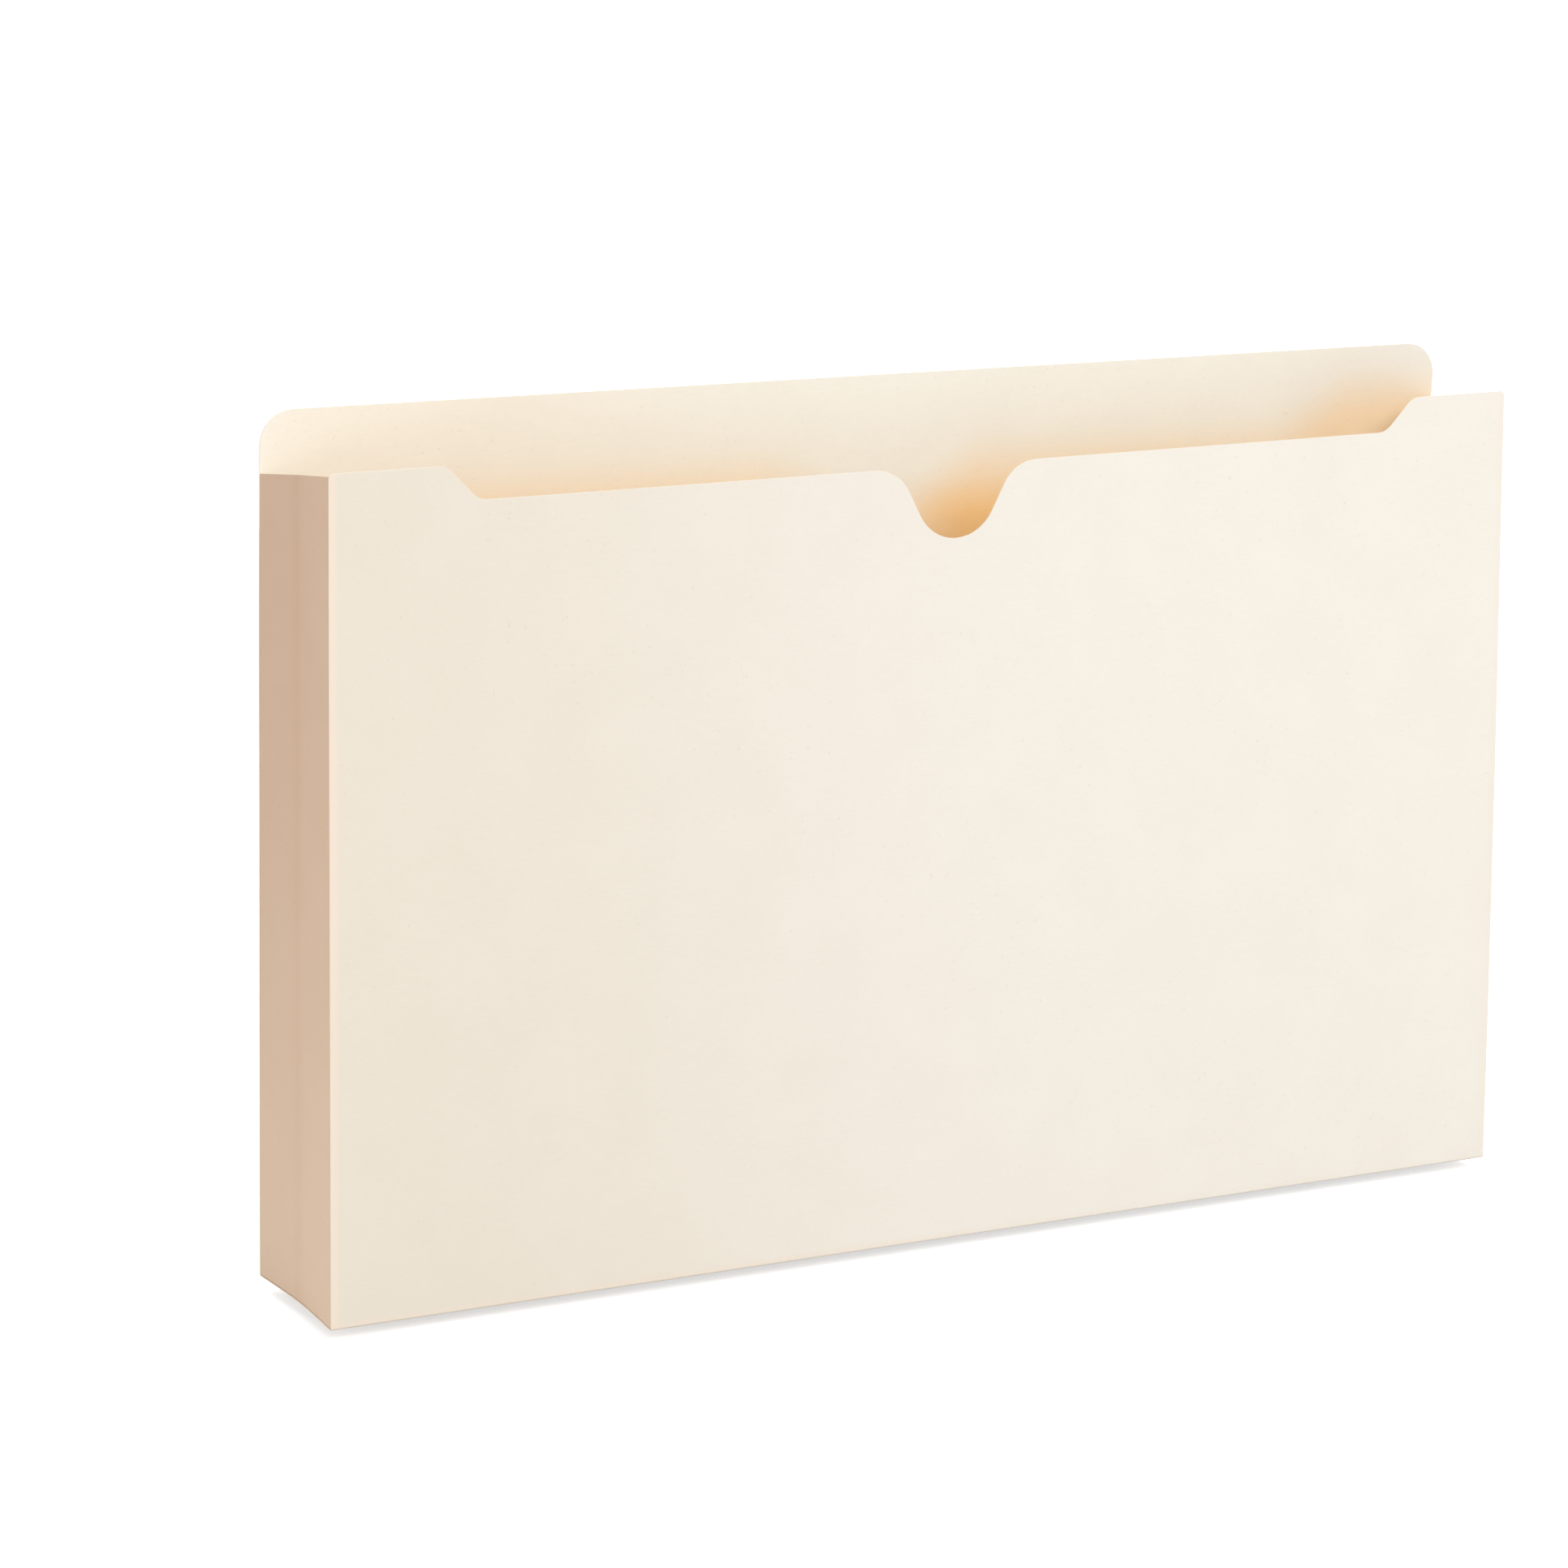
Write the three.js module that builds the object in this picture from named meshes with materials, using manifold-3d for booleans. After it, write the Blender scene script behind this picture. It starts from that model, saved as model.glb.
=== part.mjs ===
// Legal size expanding file pocket of manila card, standing open.
// Millimetres. X runs along the panels, the front panel faces -Y, +Z is up.
// The origin is on the ground, under the middle of the pocket.
//
// The real pocket is four pieces of card and their glue lines: one long sheet that makes the back
// panel, the bottom and the front panel, a pleated strip at each end, and a second ply on the tab.
// Card folds only at its scored creases, so each flat field between two creases is a piece here.
import * as THREE from 'three';
import * as BufferGeometryUtils from 'three/addons/utils/BufferGeometryUtils.js';
import Module from 'manifold-3d';

const wasm = await Module();
wasm.setup();

// Driving dimensions
const PANEL_WIDTH = 374.65; // 14 3/4 in, the legal size
const BACK_HEIGHT = 241.3; // 9 1/2 in, to the top of the tab
const TAB_RISE = 9.5; // how far the tab stands above the ears of the front panel
const EXPANSION = 50.8; // 2 in, front face to back face with the pocket open
const CARD = 0.28; // 11 point manila
const GLUE = 0.05; // a dried glue line
const CREASE_GAP = 0.15; // from a fold line to the edge of the field beside it
const CUT_GAP = 0.3; // between two edges that lie side by side in one plane

const TAB_RADIUS = 9.5; // rounded top corners of the back panel
const TAB_PLY_HEIGHT = 31.75; // 1 1/4 in of doubled card along the tab
const TAB_PLY_APRON = 25.4; // the ply reaches this much lower between the rear flaps

const UNDERCUT = 9.5; // how far the middle of the front panel is cut down below its ears
const EAR_WIDTH = 33; // full-height ear at each end of the front panel
const EAR_SLOPE = THREE.MathUtils.degToRad(45);
const EAR_FILLET = 6;
const EAR_CORNER_RADIUS = 1.5;

const NOTCH_DEPTH = 20.3; // thumb notch, below the rim of the undercut
const NOTCH_RADIUS = 13; // round bottom of the notch
const NOTCH_LIP_RADIUS = 12; // where the notch flares into the rim
const NOTCH_WALL = THREE.MathUtils.degToRad(62); // lean of its sides, from level

const FLAP_WIDTH = 19; // glue flaps of the end strips
const FLAP_TAPER = 6; // 45 degree cut at both ends of a flap
const GLUE_INSET = 2.5; // from the edge of a flap to its glue
const FOOT_WIDTH = 10; // glue foot at the lower end of an end strip
const GUSSET_FALL = 6.5; // the top of a gusset is this much lower at the back than at the front
const GUSSET_TOP_GAP = 0.8; // from the top of the front ears down to the gusset

const CLOSED_ANGLE = THREE.MathUtils.degToRad(86); // turn of each half pleat when the pocket is shut
const CORNER_CLEARANCE = 0.5; // between a shut gusset and the mitred end of the bottom

// Places that follow from them
const frontHeight = BACK_HEIGHT - TAB_RISE; // to the top of the two ears
const halfWidth = PANEL_WIDTH / 2;
const halfDepth = EXPANSION / 2;
const insideX = halfWidth - CARD; // inner face of a gusset
const foldY = halfDepth - 2 * CARD - GLUE; // fold lines of the bottom and the gussets, front and back
const rim = frontHeight - UNDERCUT; // top edge of the front panel between its ears
const plyBottom = BACK_HEIGHT - TAB_PLY_HEIGHT;
const gussetBottom = 2 * CARD + GLUE + CREASE_GAP; // an end strip stands on its own glued foot
const gussetFrontTop = frontHeight - GUSSET_TOP_GAP;
const ends = { left: -1, right: 1 };

const manila = new THREE.MeshStandardMaterial({ color: '#f2e4cb', roughness: 0.78, metalness: 0 });
const pleat = new THREE.MeshStandardMaterial({ color: '#ecdabc', roughness: 0.8, metalness: 0 });
const glue = new THREE.MeshStandardMaterial({ color: '#e6dcc4', roughness: 0.4, metalness: 0 });

// A closed outline through corners given as [x, y, radius]. A fillet is limited by its edges.
function outline(corners) {
  const shape = new THREE.Shape();
  corners.forEach(([x, y, radius = 0], i) => {
    const corner = new THREE.Vector2(x, y);
    if (radius === 0) {
      if (i === 0) shape.moveTo(x, y);
      else shape.lineTo(x, y);
      return;
    }
    const back = new THREE.Vector2(...corners.at(i - 1)).sub(corner);
    const ahead = new THREE.Vector2(...corners[(i + 1) % corners.length]).sub(corner);
    const room = Math.min(back.length(), ahead.length()) / 2;
    back.normalize();
    ahead.normalize();
    const halfAngle = Math.acos(back.dot(ahead)) / 2;
    const setback = Math.min(radius / Math.tan(halfAngle), room);
    const bend = setback * Math.tan(halfAngle);
    const middle = back.clone().add(ahead).setLength(bend / Math.sin(halfAngle)).add(corner);
    const start = back.clone().multiplyScalar(setback).add(corner).sub(middle);
    const end = ahead.clone().multiplyScalar(setback).add(corner).sub(middle);
    shape.absarc(middle.x, middle.y, bend, start.angle(), end.angle(), back.cross(ahead) > 0);
  });
  return shape;
}

function sheet(corners, thickness) {
  return new THREE.ExtrudeGeometry(outline(corners), {
    depth: thickness,
    bevelEnabled: false,
    curveSegments: 8,
  });
}

function rectangle(x0, x1, y0, y1) {
  return [[x0, y0], [x1, y0], [x1, y1], [x0, y1]];
}

// Joins overlapping closed geometries into one body.
function joined(geometries) {
  const solids = geometries.map((geometry) => {
    const bare = geometry.clone().deleteAttribute('normal').deleteAttribute('uv');
    const merged = BufferGeometryUtils.mergeVertices(bare);
    return new wasm.Manifold(new wasm.Mesh({
      numProp: 3,
      vertProperties: merged.attributes.position.array,
      triVerts: Uint32Array.from(merged.index.array),
    }));
  });
  const mesh = solids.reduce((whole, solid) => whole.add(solid)).getMesh();
  const geometry = new THREE.BufferGeometry();
  geometry.setAttribute('position', new THREE.BufferAttribute(mesh.vertProperties, 3));
  geometry.setIndex(new THREE.BufferAttribute(mesh.triVerts, 1));
  return geometry;
}

function piece(name, geometry, material) {
  const mesh = new THREE.Mesh(geometry, material);
  mesh.name = name;
  return mesh;
}

// The outline's x and y become X and Z, and the card reaches from nearY towards +Y.
function upright(name, corners, nearY, thickness, material) {
  const mesh = piece(name, sheet(corners, thickness), material);
  mesh.rotation.x = Math.PI / 2;
  mesh.position.y = nearY + thickness;
  return mesh;
}

// The outline lies level, with its lower face at height z.
function level(name, corners, z, thickness, material) {
  const mesh = piece(name, sheet(corners, thickness), material);
  mesh.position.z = z;
  return mesh;
}

// The outline's x and y become Y and Z, in the plane of the left or right end of the pocket.
function endwall(name, corners, end, thickness, material) {
  const mesh = piece(name, sheet(corners, thickness), material);
  mesh.rotation.set(Math.PI / 2, Math.PI / 2, 0);
  mesh.position.x = end < 0 ? -halfWidth : halfWidth - thickness;
  return mesh;
}

// A panel of the long sheet, with the lip that turns under it as far as the fold line.
function panel(name, corners, facing) {
  const wall = sheet(corners, CARD);
  const lipDepth = halfDepth - foldY;
  const lip = sheet(rectangle(-halfWidth, halfWidth, 0, CARD), lipDepth);
  lip.translate(0, 0, facing < 0 ? CARD - lipDepth : 0);
  const mesh = piece(name, joined([wall, lip]), manila);
  mesh.rotation.x = Math.PI / 2;
  mesh.position.y = facing < 0 ? CARD - halfDepth : halfDepth;
  return mesh;
}

function backPanel() {
  return panel('back_panel', [
    [-halfWidth, 0],
    [halfWidth, 0],
    [halfWidth, BACK_HEIGHT, TAB_RADIUS],
    [-halfWidth, BACK_HEIGHT, TAB_RADIUS],
  ], 1);
}

// The second ply of the tab is stuck to the inside of the back panel. Its lower part is narrower,
// and fits between the rear flaps of the end strips.
function tabReinforcement() {
  const apronX = halfWidth - FLAP_WIDTH - CUT_GAP;
  const apronBottom = plyBottom - TAB_PLY_APRON;
  const inset = TAB_RADIUS * (1 - Math.SQRT1_2) + GLUE_INSET;
  const tee = (tabX, tabTop, step, lowX, low, radius = 0) => [
    [-lowX, low],
    [lowX, low],
    [lowX, step],
    [tabX, step],
    [tabX, tabTop, radius],
    [-tabX, tabTop, radius],
    [-tabX, step],
    [-lowX, step],
  ];
  const ply = tee(halfWidth, BACK_HEIGHT, plyBottom, apronX, apronBottom, TAB_RADIUS);
  const line = tee(
    halfWidth - inset,
    BACK_HEIGHT - inset,
    plyBottom + inset,
    apronX - GLUE_INSET,
    apronBottom + GLUE_INSET,
  );
  return [
    upright('tab_ply', ply, foldY, CARD, manila),
    upright('tab_ply_glue', line, foldY + CARD, GLUE, glue),
  ];
}

// Half of the front panel's top edge, from the corner of its right ear to the notch.
function rightTopEdge() {
  const slopeRun = UNDERCUT / Math.tan(EAR_SLOPE);
  const notchPoint = rim - NOTCH_DEPTH - NOTCH_RADIUS * (1 / Math.cos(NOTCH_WALL) - 1);
  const notchMouth = (rim - notchPoint) / Math.tan(NOTCH_WALL);
  const edge = [
    [halfWidth, frontHeight, EAR_CORNER_RADIUS],
    [halfWidth - EAR_WIDTH, frontHeight, EAR_FILLET],
    [halfWidth - EAR_WIDTH - slopeRun, rim, EAR_FILLET],
    [notchMouth, rim, NOTCH_LIP_RADIUS],
  ];
  return { edge, notchPoint };
}

function frontPanel() {
  const { edge, notchPoint } = rightTopEdge();
  const mirrored = edge.map(([x, z, radius]) => [-x, z, radius]).reverse();
  return panel('front_panel', [
    [-halfWidth, 0],
    [halfWidth, 0],
    ...edge,
    [0, notchPoint, NOTCH_RADIUS],
    ...mirrored,
  ], -1);
}

// The bottom is two fields with a crease between them. Their ends are mitred, because the gusset
// folds in front of them, and a triangle of card at each end crumples as the pocket shuts.
function bottom() {
  const thickened = CARD * Math.sin(CLOSED_ANGLE) ** 2 / Math.cos(CLOSED_ANGLE);
  const outerX = insideX - thickened - CORNER_CLEARANCE; // at the fold line of a panel
  const outerY = foldY - CREASE_GAP;
  const mitreX = (y) => outerX - (foldY - Math.abs(y));
  const field = (y0, y1) => [[-mitreX(y0), y0], [mitreX(y0), y0], [mitreX(y1), y1], [-mitreX(y1), y1]];
  const fields = [
    level('bottom_rear', field(CREASE_GAP, outerY), 0, CARD, manila),
    level('bottom_front', field(-outerY, -CREASE_GAP), 0, CARD, manila),
  ];
  const webs = Object.entries(ends).map(([side, end]) => {
    const edgeX = end * halfWidth;
    const nearX = end * (mitreX(outerY) + CUT_GAP);
    const pointX = end * (mitreX(0) + CUT_GAP);
    const web = [[edgeX, -outerY], [edgeX, outerY], [nearX, outerY], [pointX, 0], [nearX, -outerY]];
    return level(`${side}_corner_web`, web, 0, CARD, manila);
  });
  return [...fields, ...webs];
}

// A glue flap in the plane of a panel, and its glue line. Free corners are cut at 45 degrees.
function flap(name, end, topZ, flapY, glueY) {
  const edgeX = end * halfWidth;
  const freeX = end * (halfWidth - FLAP_WIDTH);
  const taperX = end * (halfWidth - FLAP_WIDTH + FLAP_TAPER);
  const card = [
    [edgeX, gussetBottom],
    [taperX, gussetBottom],
    [freeX, gussetBottom + FLAP_TAPER],
    [freeX, topZ - FLAP_TAPER],
    [taperX, topZ],
    [edgeX, topZ],
  ];
  const glueX = [end * (halfWidth - GLUE_INSET), end * (halfWidth - FLAP_WIDTH + GLUE_INSET)];
  const glueEnds = [gussetBottom + FLAP_TAPER, topZ - FLAP_TAPER];
  return [
    upright(name, card, flapY, CARD, pleat),
    upright(`${name}_glue`, rectangle(...glueX, ...glueEnds), glueY, GLUE, glue),
  ];
}

// The two halves of a gusset, with a crease between them. Its top falls towards the back.
function gusset(side, end) {
  const top = (y) => gussetFrontTop - GUSSET_FALL * (foldY - CREASE_GAP + y) / (2 * (foldY - CREASE_GAP));
  const half = (y0, y1) => [[y0, gussetBottom], [y1, gussetBottom], [y1, top(y1)], [y0, top(y0)]];
  return [
    endwall(`${side}_gusset_rear`, half(CREASE_GAP, foldY - CREASE_GAP), end, CARD, pleat),
    endwall(`${side}_gusset_front`, half(CREASE_GAP - foldY, -CREASE_GAP), end, CARD, pleat),
  ];
}

// The foot at the lower end of a gusset turns in and is stuck to the corner of the bottom.
function foot(side, end) {
  const reach = foldY - CREASE_GAP;
  const shape = (inset) => {
    const x0 = end * (halfWidth - inset);
    const x1 = end * (halfWidth - FOOT_WIDTH + inset);
    const y0 = reach - inset;
    const y1 = reach - FOOT_WIDTH;
    return [[x0, -y0], [x0, y0], [x1, y1], [x1, -y1]];
  };
  return [
    level(`${side}_gusset_foot`, shape(0), CARD + GLUE, CARD, pleat),
    level(`${side}_gusset_foot_glue`, shape(GLUE_INSET), CARD, GLUE, glue),
  ];
}

// A pleated strip: rear flap, two gusset halves, front flap and foot.
function endStrip(side, end) {
  const strip = new THREE.Group();
  strip.add(
    ...flap(`${side}_rear_flap`, end, plyBottom - CUT_GAP, foldY, foldY + CARD),
    ...gusset(side, end),
    ...flap(`${side}_front_flap`, end, gussetFrontTop, -foldY - CARD, CARD - halfDepth),
    ...foot(side, end),
  );
  return strip;
}

const group = new THREE.Group();
group.add(backPanel(), ...tabReinforcement(), ...bottom(), frontPanel());
for (const [side, end] of Object.entries(ends)) group.add(endStrip(side, end));

export default group;
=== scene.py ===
import math

import bmesh
import bpy
from mathutils import Matrix, Vector, noise


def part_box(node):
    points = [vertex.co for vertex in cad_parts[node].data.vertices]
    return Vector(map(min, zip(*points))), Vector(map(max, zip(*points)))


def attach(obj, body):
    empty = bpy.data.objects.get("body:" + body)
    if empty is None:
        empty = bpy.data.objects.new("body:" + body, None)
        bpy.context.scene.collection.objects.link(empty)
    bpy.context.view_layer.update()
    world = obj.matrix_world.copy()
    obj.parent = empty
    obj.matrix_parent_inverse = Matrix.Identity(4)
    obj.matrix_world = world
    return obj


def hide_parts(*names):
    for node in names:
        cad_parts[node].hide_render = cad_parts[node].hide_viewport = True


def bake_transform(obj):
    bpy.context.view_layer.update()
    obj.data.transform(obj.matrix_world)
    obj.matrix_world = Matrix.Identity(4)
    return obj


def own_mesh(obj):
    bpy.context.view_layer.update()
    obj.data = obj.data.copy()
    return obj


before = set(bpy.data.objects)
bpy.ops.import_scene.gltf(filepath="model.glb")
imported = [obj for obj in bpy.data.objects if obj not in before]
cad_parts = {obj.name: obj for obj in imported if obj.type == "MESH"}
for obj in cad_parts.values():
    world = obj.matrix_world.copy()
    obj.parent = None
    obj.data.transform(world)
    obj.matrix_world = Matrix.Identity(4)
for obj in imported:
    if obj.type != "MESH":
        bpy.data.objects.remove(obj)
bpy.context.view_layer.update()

# The camera stands to the left of the pocket and a little above it, and looks near its middle with
# a long lens. Its place was worked out from the corners of the pocket in the picture.
LENS = 114.11
SENSOR = 36
CAMERA_DISTANCE = 1.3868
CAMERA_AZIMUTH = math.radians(-27.922)
CAMERA_ELEVATION = math.radians(13.083)
CAMERA_ROLL = math.radians(-1.055)
CAMERA_TARGET = Vector((-0.04, 0, 0.13115))


def towards(azimuth, elevation):
    """Unit vector from the pocket to something that stands at that azimuth and elevation."""
    level = math.cos(elevation)
    return Vector((math.sin(azimuth) * level, -math.cos(azimuth) * level, math.sin(elevation)))


def linked(name, data):
    """A new object in the scene that shows the given data."""
    made = bpy.data.objects.new(name, data)
    bpy.context.scene.collection.objects.link(made)
    return made


camera = linked("camera", bpy.data.cameras.new("camera"))
camera.data.lens = LENS
camera.data.sensor_width = SENSOR
backward = towards(CAMERA_AZIMUTH, CAMERA_ELEVATION)
level_right = Vector((math.cos(CAMERA_AZIMUTH), math.sin(CAMERA_AZIMUTH), 0))
level_up = backward.cross(level_right)
right = level_right * math.cos(CAMERA_ROLL) - level_up * math.sin(CAMERA_ROLL)
up = level_right * math.sin(CAMERA_ROLL) + level_up * math.cos(CAMERA_ROLL)
turned = Matrix((right, up, backward)).transposed().to_4x4()
camera.matrix_world = Matrix.Translation(CAMERA_TARGET + backward * CAMERA_DISTANCE) @ turned
bpy.context.scene.camera = camera
bpy.context.scene.view_settings.view_transform = "Standard"

# The pocket stands on a plain white table with a white room behind it. The table shows as white
# and lies a few millimetres low, so that the shadow under the pocket's edges is thin and soft.
MILLIMETRE = 0.001
FLOOR_SIZE = 12
FLOOR_DROP = 3.6 * MILLIMETRE
FLOOR_GLOW = 0.58  # its own light, where the eye sees it
FLOOR_SHADOW = 0.8  # its tone there, which shadows darken
FLOOR_BOUNCE = 0.68  # its tone for the light that it throws back at the pocket
ROOM_LIGHT = 0.5


class Wire:
    """One output socket of a material, with the sums that join it to others."""

    def __init__(self, socket):
        self.socket = socket

    @classmethod
    def node(cls, tree, kind, settings=None, inputs=None, out=0):
        """A new node with its settings, then the values or wires of its sockets."""
        made = tree.nodes.new(kind)
        for name, value in (settings or {}).items():
            setattr(made, name, value)
        for name, value in (inputs or {}).items():
            if isinstance(value, Wire):
                tree.links.new(value.socket, made.inputs[name])
            else:
                made.inputs[name].default_value = value
        return cls(made.outputs[out])

    def sum(self, operation, first, second):
        kind = "ShaderNodeVectorMath" if self.socket.type == "VECTOR" else "ShaderNodeMath"
        return Wire.node(self.socket.id_data, kind, {"operation": operation}, {0: first, 1: second})

    def __add__(self, other):
        return self.sum("ADD", self, other)

    def __radd__(self, other):
        return self.sum("ADD", other, self)

    def __sub__(self, other):
        return self.sum("SUBTRACT", self, other)

    def __rsub__(self, other):
        return self.sum("SUBTRACT", other, self)

    def __mul__(self, other):
        return self.sum("MULTIPLY", self, other)

    def __rmul__(self, other):
        return self.sum("MULTIPLY", other, self)

    def __abs__(self):
        return Wire.node(self.socket.id_data, "ShaderNodeMath", {"operation": "ABSOLUTE"}, {0: self})

    def rise(self, low, high):
        """0 up to low, 1 from high on, with a smooth step between. It falls where high is lower."""
        step = {"interpolation_type": "SMOOTHSTEP"}
        inputs = {"Value": self, "From Min": low, "From Max": high}
        return Wire.node(self.socket.id_data, "ShaderNodeMapRange", step, inputs)

    def tint(self, first, second, how="MIX"):
        """The first colour where this is 0, and the second one mixed in where it is 1."""
        inputs = {0: self}
        for slot, colour in ((6, first), (7, second)):
            inputs[slot] = colour if isinstance(colour, Wire) else (*colour, 1)
        settings = {"data_type": "RGBA", "blend_type": how}
        return Wire.node(self.socket.id_data, "ShaderNodeMix", settings, inputs, out=2)

    def into(self, node, name):
        """Feeds a socket of a node that is there already."""
        self.socket.id_data.links.new(self.socket, node.inputs[name])


def seen(tree):
    """1 where the eye, a reflection or a clear piece looks straight at the surface."""
    kind = "ShaderNodeLightPath"
    straight = Wire.node(tree, kind, out="Is Camera Ray")
    mirrored = Wire.node(tree, kind, out="Is Glossy Ray")
    through = Wire.node(tree, kind, out="Is Transmission Ray")
    return straight + mirrored + through


def grey(value):
    return (value, value, value, 1)


table = bpy.data.materials.new("table")
table.use_nodes = True
tree = table.node_tree
tree.nodes.clear()
plain = Wire.node(tree, "ShaderNodeBsdfDiffuse", inputs={"Color": grey(FLOOR_BOUNCE)})
shadowed = Wire.node(tree, "ShaderNodeBsdfDiffuse", inputs={"Color": grey(FLOOR_SHADOW)})
glow = Wire.node(tree, "ShaderNodeEmission", inputs={"Strength": FLOOR_GLOW})
shown = Wire.node(tree, "ShaderNodeAddShader", inputs={0: shadowed, 1: glow})
surface = Wire.node(tree, "ShaderNodeMixShader", inputs={0: seen(tree), 1: plain, 2: shown})
surface.into(tree.nodes.new("ShaderNodeOutputMaterial"), "Surface")

floor_mesh = bpy.data.meshes.new("floor")
half_floor = FLOOR_SIZE / 2
corners = [(-1, -1), (1, -1), (1, 1), (-1, 1)]
floor_points = [(x * half_floor, y * half_floor, -FLOOR_DROP) for x, y in corners]
floor_mesh.from_pydata(floor_points, [], [(0, 1, 2, 3)])
floor_mesh.materials.append(table)
linked("floor", floor_mesh)

room = bpy.data.worlds.new("room")
bpy.context.scene.world = room
room.use_nodes = True
tree = room.node_tree
tree.nodes.clear()
white = Wire.node(tree, "ShaderNodeBackground", inputs={"Color": grey(1), "Strength": 1})
ambient = Wire.node(tree, "ShaderNodeBackground", inputs={"Color": grey(1), "Strength": ROOM_LIGHT})
sky = Wire.node(tree, "ShaderNodeMixShader", inputs={0: seen(tree), 1: ambient, 2: white})
sky.into(tree.nodes.new("ShaderNodeOutputWorld"), "Surface")


# Three soft lamps light it: a large one high in front, a little to the right, a weak low one on
# the left, which opens up the end of the pocket from below, and one that fills the back.
def soft_box(name, azimuth, elevation, distance, size, power):
    """A square lamp that faces the pocket, in degrees, metres and watts."""
    lamp = bpy.data.lights.new(name, "AREA")
    lamp.shape = "SQUARE"
    lamp.size = size
    lamp.energy = power
    made = linked(name, lamp)
    outward = towards(math.radians(azimuth), math.radians(elevation))
    made.location = CAMERA_TARGET + outward * distance
    made.rotation_euler = outward.to_track_quat("Z", "Y").to_euler()
    made.visible_camera = False


soft_box("main_light", azimuth=16, elevation=42, distance=6, size=3.6, power=217)
soft_box("side_light", azimuth=-78, elevation=-6, distance=0.8, size=0.2, power=0.76)
soft_box("back_light", azimuth=180, elevation=38, distance=6, size=3.6, power=170)

# The back panel starts the long sheet of 11 point manila card, which is die cut and creased. It
# stands taller than the front, as a tab with rounded corners, and leans forward a little.
HALF_WIDTH, HALF_DEPTH, BACK_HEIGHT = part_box("back_panel")[1]
PLY_LOW, PLY_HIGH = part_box("tab_ply")
CARD = PLY_HIGH.y - PLY_LOW.y
FOLD_Y = PLY_LOW.y
BEND = 0.7 * MILLIMETRE
TAB_RADIUS = 9.5 * MILLIMETRE
CHAMFER = 0.04 * MILLIMETRE  # or a quarter of a sheet that is thinner than the card
CELL = 6 * MILLIMETRE
ARC_STEP = math.radians(9)
TOUCH = 1e-7

# How the card has settled out of flat, as a pocket that was stored shut does
FRONT_LEAN = 9.5 * MILLIMETRE  # back, at the right top of the front panel
FRONT_LEAN_POWER = 1.5
BACK_LEAN_LEFT = 3 * MILLIMETRE  # forward, at the top of the back panel
BACK_LEAN_RIGHT = 5 * MILLIMETRE
LEAN_RISE = 1.2
PLEAT_FOOT = 1.2 * MILLIMETRE  # how far the middle of each end is drawn in, from foot to top
PLEAT_LEFT = 1.8 * MILLIMETRE
PLEAT_RIGHT = 16 * MILLIMETRE
PLEAT_GRIP = 0.82  # share of the half width that the pleats leave as it is
PLEAT_RISE = 1.2
PLEAT_CURVE = 0.1
BELLY = 0.9 * MILLIMETRE  # outward bow of both panels
RIPPLE = 0.3 * MILLIMETRE
RIPPLE_SCALE = 14


def share(value, low, high):
    """Where a value lies on the way from low, 0, to high, 1."""
    return min(max((value - low) / (high - low), 0), 1)


def lean(across, height, out, facing):
    """How far the lean of a panel moves a point. Over the ends it runs from one to the other."""
    rise = height**LEAN_RISE
    front = FRONT_LEAN * across**FRONT_LEAN_POWER * rise
    back = -(BACK_LEAN_LEFT + (BACK_LEAN_RIGHT - BACK_LEAN_LEFT) * across) * rise
    own = back if facing > 0 else front
    return own * out + (front + back) / 2 * (1 - out)


def draw_in(x, height, middle):
    """How far the pleat at an end pulls a point in, most at its middle and its top."""
    top = PLEAT_LEFT if x < 0 else PLEAT_RIGHT
    pleat = PLEAT_FOOT + (top - PLEAT_FOOT) * height**PLEAT_RISE
    grip = share(abs(x) / HALF_WIDTH, PLEAT_GRIP, 1)
    return pleat * grip * (middle + PLEAT_CURVE * math.sin(math.pi * middle))


def settle(point):
    """Moves a point of the flat-sided pocket to where the real card stands."""
    height = share(point.z, 0, BACK_HEIGHT)
    across = share(point.x, -HALF_WIDTH, HALF_WIDTH)
    out = share(abs(point.y), 0, FOLD_Y)
    facing = 1 if point.y > 0 else -1
    belly = BELLY * math.sin(math.pi * across) * math.sin(math.pi * height) * out
    ripple = RIPPLE * noise.noise(point * RIPPLE_SCALE) * height
    shift = lean(across, height, out, facing) + facing * belly + ripple
    inward = draw_in(point.x, height, 1 - out)
    return Vector((point.x - math.copysign(inward, point.x), point.y + shift, point.z))


def rounded(corners):
    """Points of a closed outline through corners given as (u, v) or (u, v, radius)."""
    points = []
    for i, (u, v, *radius) in enumerate(corners):
        corner = Vector((u, v))
        if not radius:
            points.append(corner)
            continue
        back = (Vector(corners[i - 1][:2]) - corner).normalized()
        ahead = (Vector(corners[(i + 1) % len(corners)][:2]) - corner).normalized()
        half_angle = back.angle(ahead) / 2
        middle = corner + (back + ahead).normalized() * radius[0] / math.sin(half_angle)
        start = corner + back * radius[0] / math.tan(half_angle) - middle
        end = corner + ahead * radius[0] / math.tan(half_angle) - middle
        turn = math.atan2(start.x * end.y - start.y * end.x, start.dot(end))
        steps = math.ceil(abs(turn) / ARC_STEP)
        points += [middle + Matrix.Rotation(turn * k / steps, 2) @ start for k in range(steps + 1)]
    return points


def evenly(low, high, cell):
    """Values between low and high, about a cell apart, with both ends."""
    count = max(math.ceil((high - low) / cell), 1)
    return [low + (high - low) * k / count for k in range(count + 1)]


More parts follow.
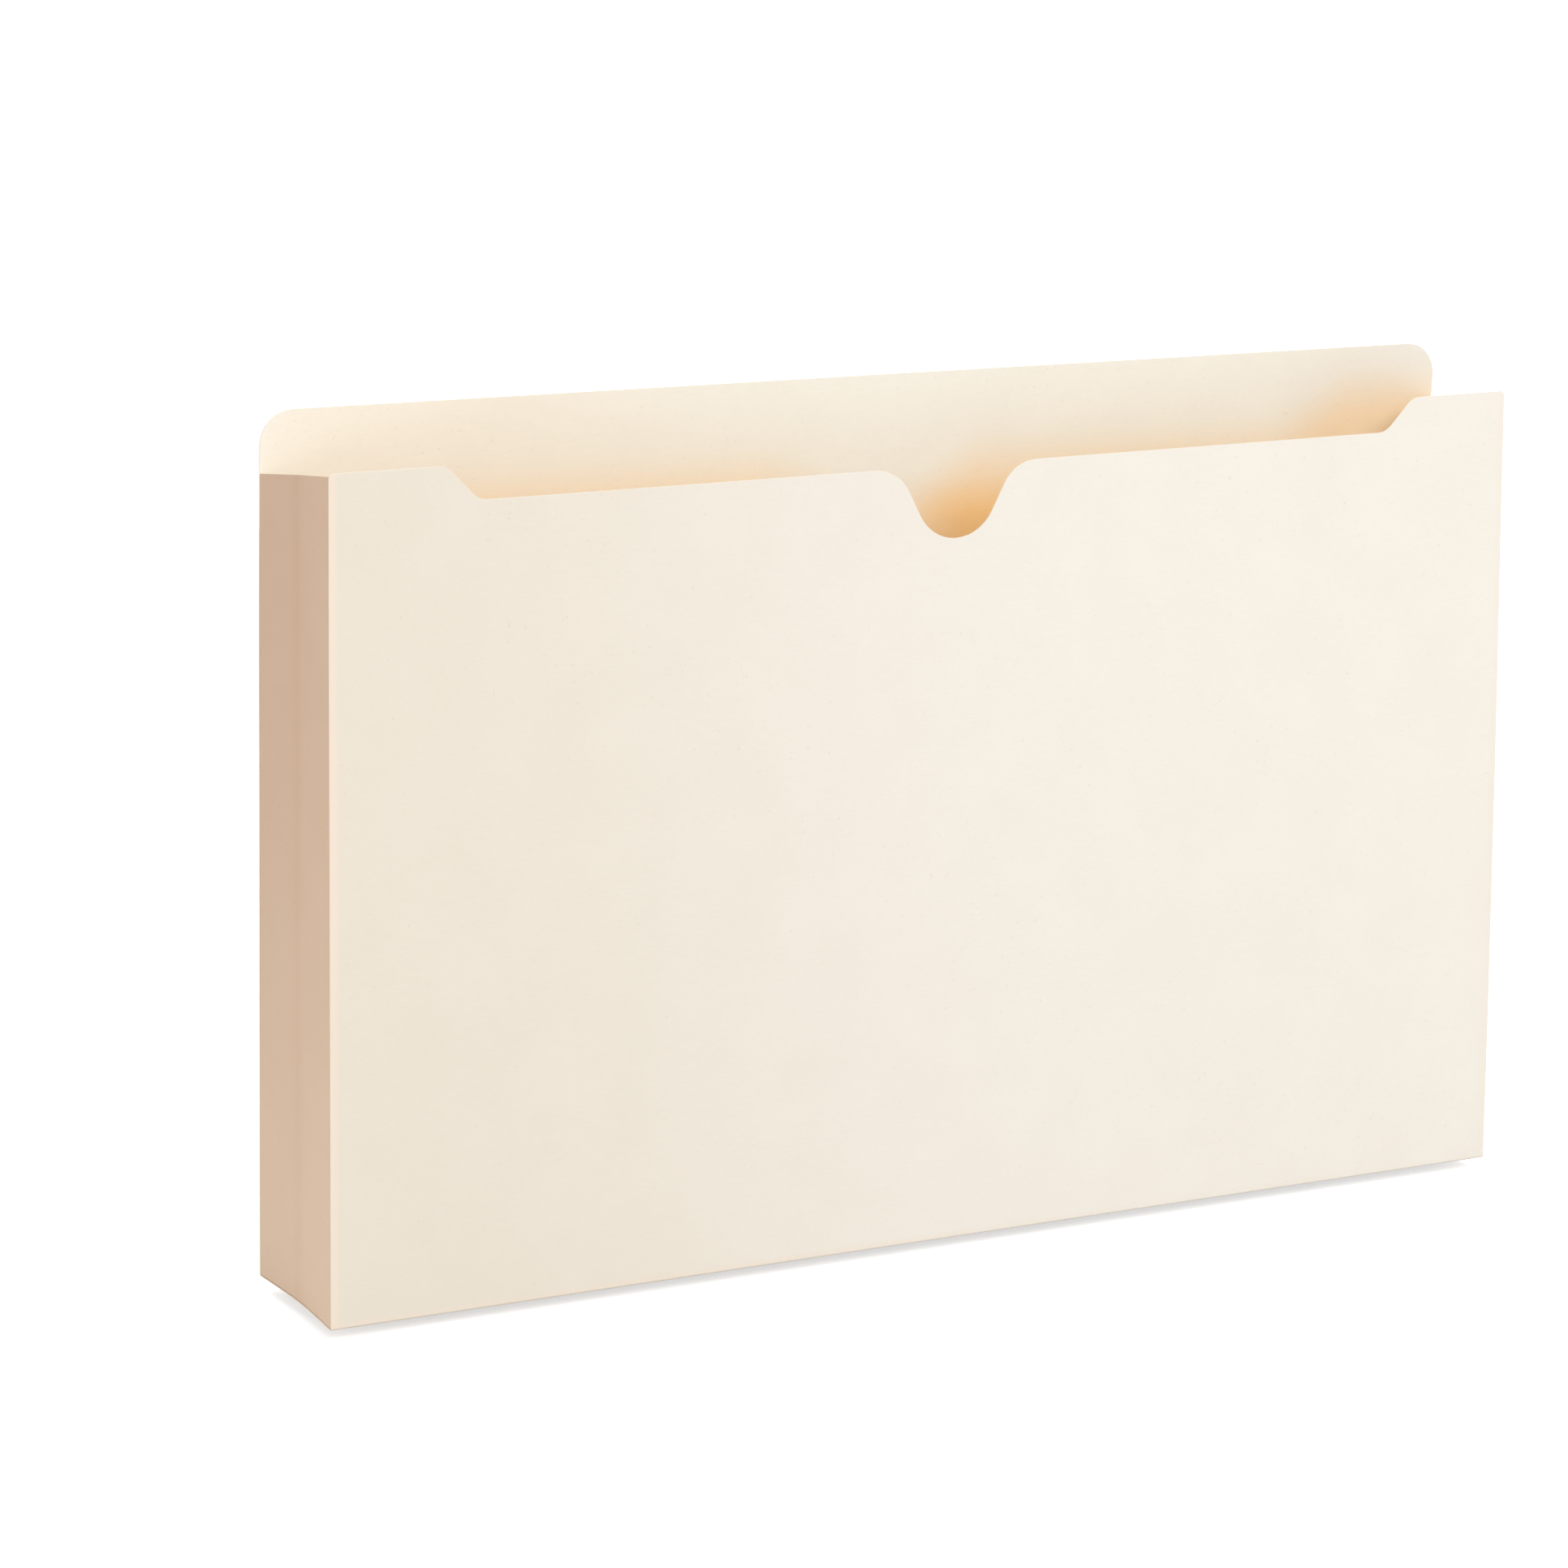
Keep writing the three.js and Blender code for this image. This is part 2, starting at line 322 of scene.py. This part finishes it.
def around(run, depth, radius):
    """Along and across for a sheet that runs straight and then round a right-angled bend."""
    turn = min(max(run / radius, 0), math.pi / 2)
    past = run - turn * radius
    along = (radius - depth) * math.sin(turn) + past * math.cos(turn)
    across = radius - (radius - depth) * math.cos(turn) + past * math.sin(turn)
    return along, across


def cut_flat(outline, across_lines, up_lines):
    """The outline as a flat mesh, cut along lines of constant u and v so that it can bend."""
    flat = bmesh.new()
    flat.faces.new([flat.verts.new((*p, 0)) for p in outline])
    for axis, lines in enumerate((across_lines, up_lines)):
        normal = Vector((0, 0, 0))
        normal[axis] = 1
        for value in lines:
            everything = [*flat.verts, *flat.edges, *flat.faces]
            on_line = normal * value
            bmesh.ops.bisect_plane(
                flat, geom=everything, dist=TOUCH, plane_co=on_line, plane_no=normal
            )
    bmesh.ops.remove_doubles(flat, verts=flat.verts, dist=CHAMFER)
    flat.verts.index_update()
    return flat


def outward_at(vertex):
    """Direction out of the flat mesh at a vertex on its rim, or none inside it."""
    total = Vector((0, 0, 0))
    for edge in vertex.link_edges:
        if edge.is_boundary:
            run = edge.verts[1].co - edge.verts[0].co
            side = Vector((run.y, -run.x, 0)).normalized()
            inside = edge.link_faces[0].calc_center_median() - edge.verts[0].co
            total += side if side.dot(inside) < 0 else -side
    return total.normalized() if total.length > 0 else total


def layered(made, flat, depths, chamfer, place, seam):
    """The sheet's points by depth and index: all on its two skins, and its rim between them."""
    points = {}
    for depth in depths:
        on_skin = depth in (depths[0], depths[-1])
        for vertex in flat.verts:
            if on_skin or vertex.is_boundary:
                u, v, _ = vertex.co
                if on_skin and not seam(u, v):
                    u, v, _ = vertex.co - chamfer * outward_at(vertex)
                points[depth, vertex.index] = made.verts.new(settle(Vector(place(u, v, depth))))
    return points


def card(name, corners, lines, thickness, place, skins, seam=lambda u, v: False):
    """A sheet cut to an outline, between two depths, put in place by a function of u, v and depth.
    Its rim is chamfered, except on a seam, where the sheet goes on as another piece."""
    flat = cut_flat(rounded(corners), *lines)
    made = bmesh.new()
    near, far = thickness
    chamfer = min(CHAMFER, (far - near) / 4)
    depths = (near, near + chamfer, far - chamfer, far)
    points = layered(made, flat, depths, chamfer, place, seam)
    for face in flat.faces:
        for depth, skin in ((near, 0), (far, 1)):
            sheet = made.faces.new([points[depth, v.index] for v in face.verts])
            sheet.material_index = skin
            sheet.smooth = True
    for edge in flat.edges:
        if edge.is_boundary:
            a, b = (v.index for v in edge.verts)
            for low, high in zip(depths, depths[1:]):
                ring = [points[low, a], points[low, b], points[high, b], points[high, a]]
                made.faces.new(ring).material_index = 2
    for edge in made.edges:
        edge.smooth = all(face.smooth for face in edge.link_faces)
    bmesh.ops.recalc_face_normals(made, faces=made.faces)
    mesh = bpy.data.meshes.new(name)
    made.to_mesh(mesh)
    flat.free()
    made.free()
    for skin in skins:
        mesh.materials.append(skin)
    return linked(name, mesh)


# Manila card is pulp pressed smooth: cream, with faint clouds, fine fibres along the sheet and a
# few darker specks. Its cut edges are paler. Inside it carries painted light and shade, and along
# its folds outside a painted warm highlight.
CARD_SHINE = 0.25
CARD_ROUGHNESS = 0.78
CLOUD_ROUGHNESS = 0.12
CLOUD_SCALE = 45
CLOUD_DETAIL = 5
CLOUD_SHARE = 0.55  # of the mottle, and the fibres make the rest
CLOUD_TINT = (0.98, 0.978, 0.972)
FIBRE_STRETCH = (420, 1500, 1500)
FIBRE_DETAIL = 3
MOTTLE = (0.35, 0.65)
SPECK_SCALE = 900
SPECK_DETAIL = 1
SPECK_PEAK = (0.72, 0.78)
SPECK_STRENGTH = 0.3
SPECK_TINT = (0.8, 0.74, 0.64)
GRAIN_SCALE = 2600
GRAIN_DETAIL = 2
GRAIN_SHARE = 0.6
GRAIN_STRENGTH = 0.6
GRAIN_HEIGHT = 0.01 * MILLIMETRE
# Painted shade along the middle score of the strip, darkest on the score.
SCORE_SHADE_SPAN = (5.5 * MILLIMETRE, 0)  # from beside a score to its middle
SCORE_SHADE_TINT = (0.98, 0.965, 0.945)
# A painted warm highlight lies along the upright folds and the lower fold of the outside, stronger
# at the left end.
UPRIGHT_HIGHLIGHT_BAND = (HALF_WIDTH - 3 * MILLIMETRE, HALF_WIDTH - 1.4 * MILLIMETRE)
LOWER_HIGHLIGHT_BAND = (2.5 * MILLIMETRE, 1 * MILLIMETRE)
LOWER_HIGHLIGHT_SHARE = 0.5
HIGHLIGHT_ACROSS = (0.1, -0.1)  # from the right half to the left, where the painted highlight is stronger
HIGHLIGHT_RIGHT = 0.15
HIGHLIGHT_LEFT = 0.8
FOLD_HIGHLIGHT = (0.905, 0.765, 0.635)


def speckled(tree, place, colour):
    """The colour with clouds, fibres and specks in it, and then the clouds and fibres alone."""
    noisy = "ShaderNodeTexNoise"
    inputs = {"Vector": place, "Scale": CLOUD_SCALE, "Detail": CLOUD_DETAIL}
    cloud = Wire.node(tree, noisy, inputs=inputs)
    inputs = {"Vector": place * FIBRE_STRETCH, "Scale": 1, "Detail": FIBRE_DETAIL}
    fibre = Wire.node(tree, noisy, inputs=inputs)
    inputs = {"Vector": place, "Scale": SPECK_SCALE, "Detail": SPECK_DETAIL}
    speck = Wire.node(tree, noisy, inputs=inputs)
    mottle = (CLOUD_SHARE * cloud + (1 - CLOUD_SHARE) * fibre).rise(*MOTTLE)
    colour = mottle.tint(colour, CLOUD_TINT, "MULTIPLY")
    colour = (SPECK_STRENGTH * speck.rise(*SPECK_PEAK)).tint(colour, SPECK_TINT, "MULTIPLY")
    return colour, cloud, fibre


def highlight_share(x, z):
    """How strong the painted warm highlight is along the upright folds and the lower ones."""
    upright_band = abs(x).rise(*UPRIGHT_HIGHLIGHT_BAND)
    lower_band = LOWER_HIGHLIGHT_SHARE * z.rise(*LOWER_HIGHLIGHT_BAND)
    highlight_strength = HIGHLIGHT_RIGHT + (HIGHLIGHT_LEFT - HIGHLIGHT_RIGHT) * x.rise(*HIGHLIGHT_ACROSS)
    return highlight_strength * (1 - (1 - upright_band) * (1 - lower_band))


def manila(name, tones, fold_highlight=False, score_shade=False):
    """Card whose colour runs through tones, a function of the place in x, y and z."""
    material = bpy.data.materials.new(name)
    material.use_nodes = True
    tree = material.node_tree
    shader = tree.nodes["Principled BSDF"]
    shader.inputs["Specular IOR Level"].default_value = CARD_SHINE
    place = Wire.node(tree, "ShaderNodeTexCoord", out="Object")
    x, y, z = (Wire.node(tree, "ShaderNodeSeparateXYZ", inputs={0: place}, out=k) for k in range(3))
    colour, cloud, fibre = speckled(tree, place, tones(x, y, z))
    # painted shade along the middle score
    if score_shade:
        colour = abs(y).rise(*SCORE_SHADE_SPAN).tint(colour, SCORE_SHADE_TINT, "MULTIPLY")
    # painted warm highlight along the folds
    if fold_highlight:
        colour = highlight_share(x, z).tint(colour, FOLD_HIGHLIGHT)
    colour.into(shader, "Base Color")
    (CARD_ROUGHNESS + CLOUD_ROUGHNESS * (cloud - 0.5)).into(shader, "Roughness")
    inputs = {"Vector": place, "Scale": GRAIN_SCALE, "Detail": GRAIN_DETAIL}
    grain = Wire.node(tree, "ShaderNodeTexNoise", inputs=inputs)
    relief = GRAIN_SHARE * grain + (1 - GRAIN_SHARE) * fibre
    bump = {"Height": relief, "Strength": GRAIN_STRENGTH, "Distance": GRAIN_HEIGHT}
    Wire.node(tree, "ShaderNodeBump", inputs=bump).into(shader, "Normal")
    return material


# The outside is painted a little darker and warmer towards the left, as painted shade. Each pair of
# places, in metres, says where a tone starts and where it is full.
OUTSIDE = (0.905, 0.85, 0.765)
OUTSIDE_SHADE_TONE = (0.838, 0.763, 0.653)
OUTSIDE_SHADE_SPAN = (0.05, -0.2)


def outside_tones(x, y, z):
    return x.rise(*OUTSIDE_SHADE_SPAN).tint(OUTSIDE, OUTSIDE_SHADE_TONE)


# The inside carries painted light and shade. Painted light makes it paler than the outside along
# its top, and its tone differs a little towards each end. Painted shade makes it a darker buff
# further down. The painted shade starts lower beside the thumb notch, where painted light comes
# through it, and higher at the right end, as painted shade in the corner. A patch of painted shade
# lies on the back behind the notch.
INSIDE = (0.985, 0.955, 0.858)
INSIDE_LEFT = (0.985, 0.925, 0.81)
INSIDE_RIGHT = (0.925, 0.885, 0.8)
INSIDE_SHADE_TONE = (0.995, 0.8, 0.555)
NOTCH_SHADE_TONE = (0.99, 0.65, 0.3)
LEFT_ACROSS = (-0.04, -0.14)
RIGHT_ACROSS = (0.12, 0.18)
INSIDE_SHADE_DEPTHS = (0.226, 0.205)
NOTCH_LIGHT_DROP = 12 * MILLIMETRE
NOTCH_LIGHT_FROM_LEFT = (-0.04, 0.002)
NOTCH_LIGHT_FROM_RIGHT = (0.034, 0.006)
CORNER_SHADE_RISE = 13 * MILLIMETRE
CORNER_SHADE_SPAN = (0.128, 0.162)
NOTCH_SHADE_FROM_LEFT = (0.006, 0.032)
NOTCH_SHADE_FROM_RIGHT = (0.1, 0.038)
NOTCH_SHADE_FROM_TOP = (0.212, 0.198)
NOTCH_SHADE_FROM_BELOW = (0.158, 0.19)
BACK_ONLY = (0.01, 0.015)


def inside_tones(x, y, z):
    pale = x.rise(*LEFT_ACROSS).tint(INSIDE, INSIDE_LEFT)
    pale = x.rise(*RIGHT_ACROSS).tint(pale, INSIDE_RIGHT)
    # painted light through the notch and painted shade in the right corner
    light_through_notch = NOTCH_LIGHT_DROP * x.rise(*NOTCH_LIGHT_FROM_LEFT) * x.rise(*NOTCH_LIGHT_FROM_RIGHT)
    shade_in_corner = CORNER_SHADE_RISE * x.rise(*CORNER_SHADE_SPAN)
    shade_lower_down = (z + light_through_notch - shade_in_corner).rise(*INSIDE_SHADE_DEPTHS).tint(pale, INSIDE_SHADE_TONE)
    # the patch of painted shade on the back behind the notch
    notch_shade_across = x.rise(*NOTCH_SHADE_FROM_LEFT) * x.rise(*NOTCH_SHADE_FROM_RIGHT)
    notch_shade_up = z.rise(*NOTCH_SHADE_FROM_TOP) * z.rise(*NOTCH_SHADE_FROM_BELOW)
    return (notch_shade_across * notch_shade_up * y.rise(*BACK_ONLY)).tint(shade_lower_down, NOTCH_SHADE_TONE)


EDGE = (0.93, 0.88, 0.78)


def edge_tones(x, y, z):
    return EDGE


outside = manila("manila_outside", outside_tones, fold_highlight=True)
inside = manila("manila_inside", inside_tones)
cut_edge = manila("manila_cut_edge", edge_tones)
panel_skins = (outside, inside, cut_edge)


def long_sheet(facing):
    """Puts a point of the unfolded sheet on a panel, round its lower fold or on the bottom."""
    def place(u, v, depth):
        down, inward = around(BEND - v, depth, BEND)
        return u, facing * (HALF_DEPTH - inward), BEND - down
    return place


def lay_flat(piece, body):
    """The piece moves with a panel, on a mesh of its own."""
    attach(piece, body)
    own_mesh(piece)


width_lines = evenly(-HALF_WIDTH, HALF_WIDTH, CELL)
back_sheet = card(
    "back_sheet",
    [
        (-HALF_WIDTH, BEND),
        (HALF_WIDTH, BEND),
        (HALF_WIDTH, BACK_HEIGHT, TAB_RADIUS),
        (-HALF_WIDTH, BACK_HEIGHT, TAB_RADIUS),
    ],
    (width_lines, evenly(BEND, BACK_HEIGHT, CELL)),
    (0, CARD),
    long_sheet(1),
    panel_skins,
    seam=lambda u, v: v < BEND + CHAMFER,
)
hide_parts("back_panel")
lay_flat(back_sheet, "back")

# The second ply along the tab is the same card, pasted to the inside of the back panel. It makes
# the tab stiff. Its lower part fits between the rear flaps, and its paste stays inside its edges.
CUT_GAP = 0.3 * MILLIMETRE
REAR_FLAP_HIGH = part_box("left_rear_flap")[1]
APRON_X = -REAR_FLAP_HIGH.x - CUT_GAP
PLY_STEP = REAR_FLAP_HIGH.z + CUT_GAP
PASTE = (0.8, 0.72, 0.56)
PASTE_STREAK = (0.72, 0.64, 0.49)
PASTE_STRETCH = (300, 300, 80)
PASTE_DETAIL = 3
PASTE_ROUGHNESS = 0.42
STREAK_ROUGHNESS = 0.2


def paste():
    """Dried paste: pale and slightly glossy, with a brushed thickness."""
    material = bpy.data.materials.new("dried_paste")
    material.use_nodes = True
    tree = material.node_tree
    shader = tree.nodes["Principled BSDF"]
    place = Wire.node(tree, "ShaderNodeTexCoord", out="Object")
    inputs = {"Vector": place * PASTE_STRETCH, "Scale": 1, "Detail": PASTE_DETAIL}
    streak = Wire.node(tree, "ShaderNodeTexNoise", inputs=inputs)
    streak.tint(PASTE, PASTE_STREAK).into(shader, "Base Color")
    (PASTE_ROUGHNESS + STREAK_ROUGHNESS * streak).into(shader, "Roughness")
    return material


dried = paste()
paste_skins = (dried, dried, dried)


def upright(u, v, depth):
    return u, depth, v


def sheet_lines(low, high):
    """Lines for a sheet that spans from one corner of a box to the other."""
    return evenly(low[0], high[0], CELL), evenly(low[1], high[1], CELL)


def tab_outline(tab_x, top, step, apron_x, low, *radius):
    """The tab with its narrower apron between the rear flaps."""
    right_side = [(apron_x, low), (apron_x, step), (tab_x, step), (tab_x, top, *radius)]
    return [*right_side, *((-u, *rest) for u, *rest in reversed(right_side))]


tab_ply = card(
    "tab_second_ply",
    tab_outline(HALF_WIDTH, BACK_HEIGHT, PLY_STEP, APRON_X, PLY_LOW.z, TAB_RADIUS),
    (width_lines, evenly(PLY_LOW.z, BACK_HEIGHT, CELL)),
    (PLY_LOW.y, PLY_HIGH.y),
    upright,
    (inside, inside, cut_edge),
)
lay_flat(tab_ply, "back")
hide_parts("tab_ply")


def paste_line(node, name, body, corners=None):
    """The paste between two plies, as a thin upright sheet in the place of its node."""
    low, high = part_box(node)
    corners = corners or [(low.x, low.z), (high.x, low.z), (high.x, high.z), (low.x, high.z)]
    lines = sheet_lines((low.x, low.z), (high.x, high.z))
    made = card(name, corners, lines, (low.y, high.y), upright, paste_skins, seam=lambda u, v: True)
    lay_flat(made, body)
    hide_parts(node)


paste_low, paste_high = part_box("tab_ply_glue")
paste_step = PLY_STEP + HALF_WIDTH - paste_high.x
paste_x = APRON_X - (paste_low.z - PLY_LOW.z)
tab_paste_corners = tab_outline(paste_high.x, paste_high.z, paste_step, paste_x, paste_low.z)
paste_line("tab_ply_glue", "tab_paste", "back", tab_paste_corners)

# The bottom is the next stretch of the long sheet, in two halves with a plain score between them.
# Each half turns up into its panel through a tight fold.
MITRE_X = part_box("bottom_rear")[1].x
SCORE_GAP = 0.2 * MILLIMETRE
FIELD_END = FOLD_Y - SCORE_GAP
FOLD_CUTS = 8
fold_run = BEND * math.pi / 2
field_v = BEND - fold_run - (HALF_DEPTH - BEND - FIELD_END)
centre_v = BEND - fold_run - (HALF_DEPTH - BEND)
half_bottom = [
    (-HALF_WIDTH, field_v),
    (-MITRE_X, field_v),
    (FIELD_END - MITRE_X, centre_v),
    (MITRE_X - FIELD_END, centre_v),
    (MITRE_X, field_v),
    (HALF_WIDTH, field_v),
    (HALF_WIDTH, BEND),
    (-HALF_WIDTH, BEND),
]
half_bottom_cuts = [*evenly(centre_v, field_v, CELL), *evenly(field_v, BEND, fold_run / FOLD_CUTS)]


def bottom_half(wall, facing):
    """Half of the bottom with its fold, as a sheet that isn't on a body yet."""
    made = card(
        f"bottom_{wall}_sheet",
        half_bottom,
        (width_lines, half_bottom_cuts),
        (0, CARD),
        long_sheet(facing),
        panel_skins,
        seam=lambda u, v: v > BEND - CHAMFER,
    )
    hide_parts(f"bottom_{wall}")
    return made


rear_half = bottom_half("rear", 1)
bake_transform(rear_half)
front_half = bottom_half("front", -1)
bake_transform(front_half)

# At each end of the bottom a triangle of the same sheet lies under the gusset. The real one buckles
# when the pocket shuts; here it moves with the back panel.
ends = {"left": -1, "right": 1}


def level(u, v, depth):
    return u, v, depth


for side, end in ends.items():
    web_corners = [
        (end * HALF_WIDTH, -FIELD_END),
        (end * HALF_WIDTH, FIELD_END),
        (end * MITRE_X, FIELD_END),
        (end * (MITRE_X - FIELD_END), 0),
        (end * MITRE_X, -FIELD_END),
    ]
    web_x = [corner[0] for corner in web_corners]
    web = card(
        f"{side}_corner_web_sheet",
        web_corners,
        sheet_lines((min(web_x), -FIELD_END), (max(web_x), FIELD_END)),
        (0, CARD),
        level,
        panel_skins,
    )
    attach(web, "back")
    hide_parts(f"{side}_corner_web")
    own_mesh(web)

# The front panel ends the long sheet. Its top edge is cut down between two ears, with a round
# thumb notch in the middle, and it leans back a little towards its right end.
FRONT_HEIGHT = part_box("front_panel")[1].z
UNDERCUT = 9.5 * MILLIMETRE
EAR_WIDTH = 33 * MILLIMETRE
EAR_FILLET = 6 * MILLIMETRE
EAR_CORNER_RADIUS = 1.5 * MILLIMETRE
NOTCH_DEPTH = 20.3 * MILLIMETRE
NOTCH_RADIUS = 13 * MILLIMETRE
NOTCH_LIP_RADIUS = 12 * MILLIMETRE
NOTCH_WALL = math.radians(62)

rim = FRONT_HEIGHT - UNDERCUT
notch_point = rim - NOTCH_DEPTH - NOTCH_RADIUS * (1 / math.cos(NOTCH_WALL) - 1)
notch_mouth = (rim - notch_point) / math.tan(NOTCH_WALL)
right_edge = [
    (HALF_WIDTH, FRONT_HEIGHT, EAR_CORNER_RADIUS),
    (HALF_WIDTH - EAR_WIDTH, FRONT_HEIGHT, EAR_FILLET),
    (HALF_WIDTH - EAR_WIDTH - UNDERCUT, rim, EAR_FILLET),
    (notch_mouth, rim, NOTCH_LIP_RADIUS),
]
left_edge = [(-u, v, radius) for u, v, radius in reversed(right_edge)]
front_sheet = card(
    "front_sheet",
    [
        (-HALF_WIDTH, BEND),
        (HALF_WIDTH, BEND),
        *right_edge,
        (0, notch_point, NOTCH_RADIUS),
        *left_edge,
    ],
    (width_lines, evenly(BEND, FRONT_HEIGHT, CELL)),
    (0, CARD),
    long_sheet(-1),
    panel_skins,
    seam=lambda u, v: v < BEND + CHAMFER,
)
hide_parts("front_panel")
lay_flat(front_sheet, "front")

# Each end of the pocket is a pleated strip of the same manila. Its outside is painted a shade darker
# and warmer, as painted shade on the ends, darkest at the top and paler at the foot, where painted
# light from the table falls. Its flaps are pasted inside the back and front panels, and each turns
# through a tight fold into the gusset.
STRIP_SHADE_TOP = (0.768, 0.546, 0.391)
STRIP_SHADE_FOOT = (0.872, 0.656, 0.487)
STRIP_SHADE_UP = (-0.02, 0.18)


# painted shade on the ends, with painted light from the table at the foot
def strip_shade_tones(x, y, z):
    return z.rise(*STRIP_SHADE_UP).tint(STRIP_SHADE_FOOT, STRIP_SHADE_TOP)


strip = manila("manila_strip", strip_shade_tones, score_shade=True)
strip_inside = manila("manila_strip_inside", inside_tones, score_shade=True)
strip_skins = (strip, strip_inside, cut_edge)
FLAP_BEND = 0.5 * MILLIMETRE
FLAP_TAPER = 6 * MILLIMETRE
SMALL_FOLD_CUTS = 6
flap_run = FLAP_BEND * math.pi / 2
flap_face = FOLD_Y + CARD
flap_edge = flap_face - FLAP_BEND


def flap(side, end, wall, facing, body):
    """A flap of the strip, from its free edge round the fold to where the gusset starts."""
    low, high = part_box(f"{side}_{wall}_flap")
    free = -(high.x - low.x - FLAP_BEND)
    corners = [
        (flap_run, low.z),
        (free + FLAP_TAPER, low.z),
        (free, low.z + FLAP_TAPER),
        (free, high.z - FLAP_TAPER),
        (free + FLAP_TAPER, high.z),
        (flap_run, high.z),
    ]
    across = [*evenly(free, 0, CELL), *evenly(0, flap_run, flap_run / SMALL_FOLD_CUTS)]

    def place(u, v, depth):
        along, inward = around(u, depth, FLAP_BEND)
        return end * (HALF_WIDTH - FLAP_BEND + along), facing * (flap_face - inward), v

    made = card(
        f"{side}_{wall}_flap_strip",
        corners,
        (across, evenly(low.z, high.z, CELL)),
        (0, CARD),
        place,
        strip_skins,
        seam=lambda u, v: u > flap_run - CHAMFER,
    )
    lay_flat(made, body)
    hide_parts(f"{side}_{wall}_flap")


for side, end in ends.items():
    flap(side, end, "rear", 1, "back")
    paste_line(f"{side}_rear_flap_glue", f"{side}_rear_flap_paste", "back")
    flap(side, end, "front", -1, "front")
    paste_line(f"{side}_front_flap_glue", f"{side}_front_flap_paste", "front")

# The gusset is the part of the strip that closes the end of the pocket. A score down its middle
# lets it fold in. Its top edge falls towards the back.
GUSSET_FALL = 6.5 * MILLIMETRE
GUSSET_CELL = 4 * MILLIMETRE
FOOT_BEND = 0.5 * MILLIMETRE
foot_low, foot_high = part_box("left_gusset_foot")
gusset_low = foot_low.z + FOOT_BEND
gusset_front_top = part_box("left_gusset_front")[1].z
gusset_up = evenly(gusset_low, gusset_front_top, CELL)


def gusset_top(y):
    return gusset_front_top - GUSSET_FALL * (y + FOLD_Y) / (2 * FOLD_Y)


gusset_corners = {
    "rear": [
        (0, gusset_low),
        (flap_edge, gusset_low),
        (flap_edge, REAR_FLAP_HIGH.z),
        (FOLD_Y, REAR_FLAP_HIGH.z),
        (FOLD_Y, gusset_top(FOLD_Y)),
        (0, gusset_top(0)),
    ],
    "front": [
        (-flap_edge, gusset_low),
        (0, gusset_low),
        (0, gusset_top(0)),
        (-flap_edge, gusset_top(-flap_edge)),
    ],
}
for side, end in ends.items():
    for wall, corners in gusset_corners.items():
        reach = [corner[0] for corner in corners]
        half = card(
            f"{side}_gusset_{wall}_strip",
            corners,
            (evenly(min(reach), max(reach), GUSSET_CELL), gusset_up),
            (0, CARD),
            lambda u, v, depth: (end * (HALF_WIDTH - depth), u, v),
            strip_skins,
            seam=lambda u, v: v < gusset_front_top - GUSSET_FALL - CELL,
        )
        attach(half, f"{side}_gusset_{wall}_half")
        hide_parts(f"{side}_gusset_{wall}")
        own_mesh(half)

# The foot is the lower end of the strip, turned in and pasted to the corner of the bottom. Its two
# corners are cut at 45 degrees. The real one buckles with the corner web when the pocket shuts; here
# it moves with the back panel, as the web does.
foot_run = FOOT_BEND * math.pi / 2
foot_free = -(foot_high.x - foot_low.x - FOOT_BEND)
foot_reach = foot_high.y
foot_taper = foot_reach + foot_free
foot_corners = [
    (foot_run, -foot_reach),
    (foot_run, foot_reach),
    (0, foot_reach),
    (foot_free, foot_taper),
    (foot_free, -foot_taper),
    (0, -foot_reach),
]
foot_across = [*evenly(foot_free, 0, CELL), *evenly(0, foot_run, foot_run / SMALL_FOLD_CUTS)]
foot_lines = (foot_across, evenly(-foot_reach, foot_reach, CELL))


def foot_sheet(side, end):
    """The foot with its fold, turned in at that end of the pocket."""
    def place(u, v, depth):
        along, rise = around(u, depth, FOOT_BEND)
        return end * (HALF_WIDTH - FOOT_BEND + along), v, foot_low.z + rise

    return card(
        f"{side}_gusset_foot_strip",
        foot_corners,
        foot_lines,
        (0, CARD),
        place,
        strip_skins,
        seam=lambda u, v: u > foot_run - CHAMFER,
    )


def foot_paste(side, end):
    """The paste under a foot, which stays inside the foot's cut corners."""
    low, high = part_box(f"{side}_gusset_foot_glue")
    inner, outer = sorted((abs(low.x), abs(high.x)))
    wide = high.y
    narrow = wide - (outer - inner)
    corners = [(outer, -wide), (outer, wide), (inner, narrow), (inner, -narrow)]
    return card(
        f"{side}_gusset_foot_paste",
        [(end * u, v) for u, v in corners],
        sheet_lines((low.x, -wide), (high.x, wide)),
        (low.z, high.z),
        level,
        paste_skins,
        seam=lambda u, v: True,
    )


for side, end in ends.items():
    foot = foot_sheet(side, end)
    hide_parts(f"{side}_gusset_foot")
    pasted = foot_paste(side, end)
    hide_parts(f"{side}_gusset_foot_glue")
    for piece in (foot, pasted):
        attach(piece, "back")
        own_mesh(piece)
